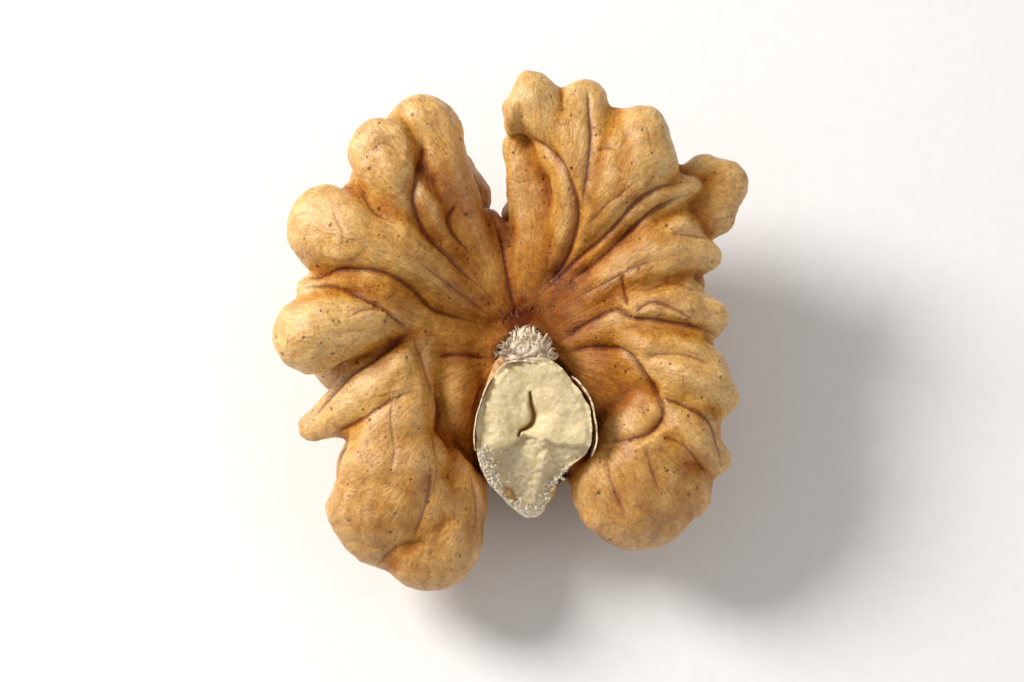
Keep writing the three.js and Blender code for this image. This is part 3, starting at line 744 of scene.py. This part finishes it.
flesh.bump(flesh.maths("MULTIPLY", crumb, 0.10))
break_mesh.materials.clear()
break_mesh.materials.append(flesh.material)

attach(broken, "root")

# ---------------------------------------------------------------------------
# The torn coat: thin dry flaps of seed coat that stand up round the break, a
# little apart from the flesh, torn off along their upper edges.
# ---------------------------------------------------------------------------

# (line of the flap round the break, how far it leans out, how ragged its edge is)
COAT_FLAPS = [
    ([(3.45, -3.1), (4.15, -3.8), (4.68, -4.9), (4.88, -6.2), (4.88, -7.0), (4.6, -7.9)], 0.14, 0.35),
    ([(-1.1, -2.8), (-1.65, -3.8), (-2.1, -5.0), (-2.36, -6.2), (-2.3, -7.5)], 0.00, 0.34),
    ([(-0.9, -2.5), (-0.4, -2.05), (0.5, -1.95), (1.2, -1.98), (2.1, -1.92), (2.85, -2.45)], -0.15, 0.45),
]
FLAP_DEPTH = 1.7
FLAP_RISE = 0.16  # how far a flap stands above the break
FLAP_END_DROP = 0.9  # how much lower a flap is at its two ends
FLAP_BOW = 0.06
FLAP_THICKNESS = 0.08
FLAP_SEED = 11


def coat_flap(stations, lean, ragged, seed):
    """A thin upright sheet along the line, with a torn upper edge, as a mesh."""
    line = smooth_path(stations, 0.1)
    sheet = bmesh.new()
    bmesh.ops.create_grid(sheet, x_segments=len(line) * 2, y_segments=10, size=0.5)
    mesh = bpy.data.meshes.new("coat_flap")
    sheet.to_mesh(mesh)
    sheet.free()
    along, up = mesh_points(mesh)[:, :2].T + 0.5
    steps = np.linspace(0, 1, len(line))
    u = np.interp(along, steps, line[:, 0])
    v = np.interp(along, steps, line[:, 1])
    run_u = np.interp(along, steps, np.gradient(line[:, 0]))
    run_v = np.interp(along, steps, np.gradient(line[:, 1]))
    length = np.hypot(run_u, run_v)
    centre_side = np.sign(run_v * (u - BREAK_MIDDLE[0]) - run_u * (v - BREAK_MIDDLE[1]))
    out_u, out_v = centre_side * run_v / length, -centre_side * run_u / length
    flat = np.stack([u, v, v * 0], axis=1)
    torn = rough(flat, 0.45, seed) + 0.6 * rough(flat, 0.16, seed + 1)
    ends = ease(0, 0.1, along) * (1 - ease(0.9, 1, along))
    top = BREAK_LEVEL - break_fall(v) + FLAP_RISE + ragged * torn - FLAP_END_DROP * (1 - ends)
    bow = rough(np.stack([u, v, up], axis=1), 0.8, seed + 2) * FLAP_BOW
    off = lean * up ** 2 + bow
    placed = np.stack([u + out_u * off, v + out_v * off, top - FLAP_DEPTH * (1 - up)], axis=1)
    move_points(mesh, in_frame(placed))
    keep_values(mesh, {"edge": up})
    return mesh


coat_sheets = bmesh.new()
for number, (stations, lean, ragged) in enumerate(COAT_FLAPS):
    flap_mesh = coat_flap(stations, lean, ragged, FLAP_SEED + 3 * number)
    coat_sheets.from_mesh(flap_mesh)
    bpy.data.meshes.remove(flap_mesh)
torn_coat = piece_from("torn_coat", coat_sheets)
body = torn_coat.modifiers.new("sheet_thickness", "SOLIDIFY")
body.thickness = FLAP_THICKNESS * MM
body.offset = 0
sheets_mesh = worked_mesh(torn_coat)
for face in sheets_mesh.polygons:
    face.use_smooth = True

dry = Shading("dry_coat")
dry_place = dry.place()
dry_tone = dry.noise(dry_place, 1.8, 4.0, 0.6)
dry_fleck = dry.noise(dry_place, 6.0, 4.0, 0.65)
dry_skin = dry.blend(dry.span(dry_tone, 0.35, 0.65), hue(198, 148, 84), hue(164, 106, 46))
upper_edge = dry.span(dry.given("edge"), 0.80, 0.98)
paled = dry.maths("ADD", upper_edge, dry.span(dry_fleck, 0.4, 0.65, -0.35, 0.35), clamp=True)
dry.colour(dry.blend(paled, dry_skin, hue(238, 222, 192)))
dry.shader.inputs["Roughness"].default_value = 0.6
dry.waxy(0.2, (1.0, 0.6, 0.3), 0.2)
dry.bump(dry.maths("MULTIPLY", dry_fleck, 0.06))
sheets_mesh.materials.append(dry.material)

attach(torn_coat, "root")

# ---------------------------------------------------------------------------
# The crumbs: small white grains of torn flesh that cling along the lower edge
# of the break, thickest on the left. None lie on the brown fleck.
# ---------------------------------------------------------------------------

CRUMB_LINE = [(-2.0, -7.5), (-1.6, -8.8), (-0.85, -9.8), (0.15, -10.8), (0.95, -11.2), (1.6, -11.0),
              (2.1, -10.2), (2.6, -9.4), (3.3, -8.6)]
CRUMB_COUNT = 420
CRUMB_SIZE = (0.03, 0.11)  # least radius, and how much more the largest has
CRUMB_SINK = 0.2
CRUMB_WHITENESS = 0.7

chance = random.Random(7)
crumb_path = smooth_path(CRUMB_LINE, 0.05)
crumbs = bmesh.new()
for _ in range(CRUMB_COUNT):
    u, v = crumb_path[int(chance.random() ** 1.5 * (len(crumb_path) - 1))]
    u += chance.gauss(0, 0.10) + (1.1 - u) * 0.20 * chance.random() ** 2
    v += chance.gauss(0, 0.10) + (-6.5 - v) * 0.14 * chance.random() ** 2
    level = BREAK_LEVEL - float(break_fall(np.float64(v))) - CRUMB_SINK + chance.uniform(-0.15, 0.15)
    size = CRUMB_SIZE[0] + CRUMB_SIZE[1] * chance.random() ** 2
    if fleck_gap(u, v, 0.6, 0.28) < 1:
        continue
    grown = bmesh.ops.create_icosphere(crumbs, subdivisions=1, radius=size)
    for vert in grown["verts"]:
        vert.co *= 1 + 0.9 * noise.noise(vert.co * 1.1 / size + Vector((u * 9, v * 9, 0)))
    stretch = Matrix.Diagonal((1, chance.uniform(0.6, 1), chance.uniform(0.5, 0.9), 1))
    turn = Matrix.Rotation(chance.uniform(0, math.tau), 4, "Z")
    spot = Matrix.Translation((u, v, level)) @ turn @ stretch
    bmesh.ops.transform(crumbs, matrix=spot, verts=grown["verts"])
bmesh.ops.transform(crumbs, matrix=Matrix.Scale(MM, 4) @ FROM_FACE, verts=crumbs.verts)
crumb_piece = piece_from("flesh_crumbs", crumbs)
keep_values(crumb_piece.data, {"crust": np.full(len(crumb_piece.data.vertices), CRUMB_WHITENESS)})
crumb_piece.data.materials.append(flesh.material)

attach(crumb_piece, "root")

# ---------------------------------------------------------------------------
# The crown above the stub: a matted tuft of pale dry fibres torn from the
# partition that stood between the halves. They fan out from a foot behind the
# break, and curl over and down at their ends.
# ---------------------------------------------------------------------------

CROWN_ROOT = (0.75, -2.0, -1.45)  # the middle of the fibres' feet
CROWN_REACH = (1.8, 2.0)  # how far the longest fibres reach across and along
CROWN_FAN = (-32, 244)  # where the fan starts and how far it turns, in degrees
CROWN_TUCK = -0.12  # how far the fibres may point back past their feet
CLUMPS = 96
CLUMP_FIBRES = 8
CLUMP_SPACING = 0.618  # share of the fan between one clump and the next
CLUMP_RISE = 0.65
FIBRE_STEPS = 8
FIBRE_TAPER = 0.5


def fibre_tuft(name, strands):
    """A piece of tapered fibres, from (points on the inner face, thickness in mm) for each."""
    curve = bpy.data.curves.new(name, "CURVE")
    curve.dimensions = "3D"
    curve.bevel_depth = MM
    curve.bevel_resolution = 1
    curve.use_fill_caps = True
    for line, thickness in strands:
        spline = curve.splines.new("POLY")
        spline.points.add(len(line) - 1)
        placed = in_frame(np.array(line))
        for i, (knot, spot) in enumerate(zip(spline.points, placed)):
            knot.co = (*spot, 1)
            share = i / (len(line) - 1)
            knot.radius = thickness * (1 - FIBRE_TAPER * share ** 2)
    drawn = piece_of(name, curve)
    graph = bpy.context.evaluated_depsgraph_get()
    mesh = bpy.data.meshes.new_from_object(drawn.evaluated_get(graph))
    bpy.data.objects.remove(drawn)
    for face in mesh.polygons:
        face.use_smooth = True
    return piece_of(name, mesh)


pale_strands = []
for clump in range(CLUMPS):
    height_share = clump / CLUMPS
    clump_turn = CROWN_FAN[0] + CROWN_FAN[1] * ((clump * CLUMP_SPACING) % 1) + chance.uniform(-6, 6)
    clump_long = 1.05 - CLUMP_RISE * height_share * chance.uniform(0.8, 1.0)
    lift = CLUMP_RISE * height_share
    curl = chance.uniform(-0.75, 0.75)
    droop = chance.uniform(1.3, 2.0)
    foot = (CROWN_ROOT[0] + chance.uniform(-1.0, 1.0), CROWN_ROOT[1] + chance.uniform(-0.15, 0.35))
    for _ in range(CLUMP_FIBRES):
        turn = math.radians(clump_turn + chance.uniform(-7, 7))
        long = clump_long * chance.uniform(0.86, 1.04)
        start = (foot[0] + chance.uniform(-0.12, 0.12), foot[1] + chance.uniform(-0.1, 0.1))
        end = (CROWN_ROOT[0] + CROWN_REACH[0] * long * math.cos(turn),
               CROWN_ROOT[1] + CROWN_REACH[1] * long * max(CROWN_TUCK, math.sin(turn)) + 0.1)
        sway = chance.uniform(-0.10, 0.10)
        bend = (curl + chance.uniform(-0.2, 0.2)) * long
        line = []
        for i in range(FIBRE_STEPS + 1):
            t = i / FIBRE_STEPS
            gone = math.sin(0.5 * math.pi * min(1, 1.15 * t))
            arch = math.sin(math.pi * min(1, t * 0.9 + 0.1)) * (0.45 + lift * 0.6)
            swing = bend * t ** 2
            across = start[0] + (end[0] - start[0]) * gone + sway * math.sin(math.pi * t)
            along = start[1] + (end[1] - start[1]) * gone + chance.uniform(-0.02, 0.02)
            level = CROWN_ROOT[2] + 0.6 * lift + arch - 0.5 * droop * t ** 2 - 0.9 * droop * t ** 6
            line.append((across - swing * math.sin(turn), along + swing * math.cos(turn), level))
        pale_strands.append((line, chance.uniform(0.04, 0.10)))
crown = fibre_tuft("fibre_crown", pale_strands)

straw = Shading("pale_fibre")
straw_place = straw.place()
strand_tone = straw.noise(straw_place, 2.2, 3.0, 0.6)
across_place = straw.node("SeparateXYZ", {"Vector": straw_place}).outputs[0]
# painted shade for the dark gaps between the fibres, over the left of the tuft
left_side = straw.span(across_place, 0.7, -0.6)
painted_gap_shade = straw.maths("ADD", left_side, straw.span(strand_tone, 0.4, 0.65, -0.4, 0.4), clamp=True)
pale = straw.blend(straw.span(strand_tone, 0.35, 0.65), hue(240, 224, 200), hue(200, 172, 140))
straw.colour(straw.blend(straw.maths("MULTIPLY", painted_gap_shade, 0.9), pale, hue(92, 64, 44)))
straw.shader.inputs["Roughness"].default_value = 0.75
straw.waxy(0.15, (1.0, 0.7, 0.5), 0.2)
straw.bump(straw.maths("MULTIPLY", straw.noise(straw_place, 14.0, 3.0), 0.03))
crown.data.materials.append(straw.material)

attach(crown, "root")

# ---------------------------------------------------------------------------
# The scar above the crown, where the partition was rooted: short, dark,
# red-brown threads that lie tangled on the floor of the funnel.
# ---------------------------------------------------------------------------

SCAR_THREADS = 54
SCAR_MIDDLE = (0.4, 0.4)
SCAR_SIZE = (1.1, 0.75)
SCAR_FLOOR = -3.85
THREAD_ARCH = 0.42
THREAD_STATIONS = (0, 0.3, 0.6, 0.85, 1)

scar_strands = []
for _ in range(SCAR_THREADS):
    turn = math.radians(chance.uniform(0, 360))
    out = math.sqrt(chance.random())
    foot = (SCAR_MIDDLE[0] + SCAR_SIZE[0] * out * math.cos(turn),
            SCAR_MIDDLE[1] + SCAR_SIZE[1] * out * math.sin(turn))
    lean = (chance.uniform(-0.5, 0.5), chance.uniform(0.1, 0.7))
    line = [(foot[0] + lean[0] * t, foot[1] + lean[1] * t, SCAR_FLOOR + THREAD_ARCH * math.sin(2.6 * t))
            for t in THREAD_STATIONS]
    scar_strands.append((line, chance.uniform(0.025, 0.055)))
scar = fibre_tuft("scar_fibres", scar_strands)

dark = Shading("dark_scar")
dark_place = dark.place()
dark_tone = dark.span(dark.noise(dark_place, 2.5, 3.0), 0.35, 0.7)
dark.colour(dark.blend(dark_tone, hue(92, 30, 10), hue(142, 70, 32)))
dark.shader.inputs["Roughness"].default_value = 0.5
dark.bump(dark.maths("MULTIPLY", dark.noise(dark_place, 14.0, 3.0), 0.03))
scar.data.materials.append(dark.material)

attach(scar, "root")

# ---------------------------------------------------------------------------
# Where the kernel lies: a plain pale table, soft daylight from the upper left
# and a weaker fill from the right.
# ---------------------------------------------------------------------------

TABLE_REACH = 0.6
VIEW_HEIGHT = math.radians(72)  # how steeply the camera looks down
VIEW_DISTANCE = 0.176
VIEW_LENS = 100
ROOM_TINT = (1.0, 0.99, 0.97, 1)
ROOM_STRENGTH = 0.42

low, high = (Vector(corner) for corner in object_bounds())
middle = (low + high) / 2

table_top = bmesh.new()
bmesh.ops.create_grid(table_top, x_segments=24, y_segments=24, size=TABLE_REACH)
table = piece_from("table_top", table_top)
paper = Shading("white_paper")
paper_tooth = paper.noise(paper.node("TexCoord").outputs["Object"], 900.0, 5.0)
paper.colour(paper.blend(paper_tooth, (0.80, 0.79, 0.785, 1), (0.86, 0.855, 0.85, 1)))
paper.shader.inputs["Roughness"].default_value = 0.65
table.data.materials.append(paper.material)
table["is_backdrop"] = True


def soft_light(name, place, size, power, colour):
    lamp = bpy.data.lights.new(name, "AREA")
    lamp.shape = "DISK"
    lamp.size = size
    lamp.energy = power
    lamp.color = colour
    light = piece_of(name, lamp)
    light.location = middle + Vector(place)
    light.rotation_euler = (-Vector(place)).to_track_quat("-Z", "Y").to_euler()


soft_light("window", (-0.20, 0.10, 0.18), 0.12, 1.05, (1.0, 0.975, 0.94))
soft_light("fill", (0.22, -0.10, 0.18), 0.25, 0.14, (1.0, 0.99, 0.97))
room = bpy.data.worlds.new("room")
bpy.context.scene.world = room
room.use_nodes = True
room.node_tree.nodes["Background"].inputs["Color"].default_value = ROOM_TINT
room.node_tree.nodes["Background"].inputs["Strength"].default_value = ROOM_STRENGTH

lens = bpy.data.cameras.new("camera")
lens.lens = VIEW_LENS
lens.clip_start = 0.005
lens.clip_end = 5
camera = piece_of("camera", lens)
sight = Vector((0, -math.cos(VIEW_HEIGHT), math.sin(VIEW_HEIGHT)))
camera.location = middle + sight * VIEW_DISTANCE
camera.rotation_euler = (-sight).to_track_quat("-Z", "Y").to_euler()
bpy.context.scene.camera = camera
bpy.context.scene.view_settings.view_transform = "Standard"
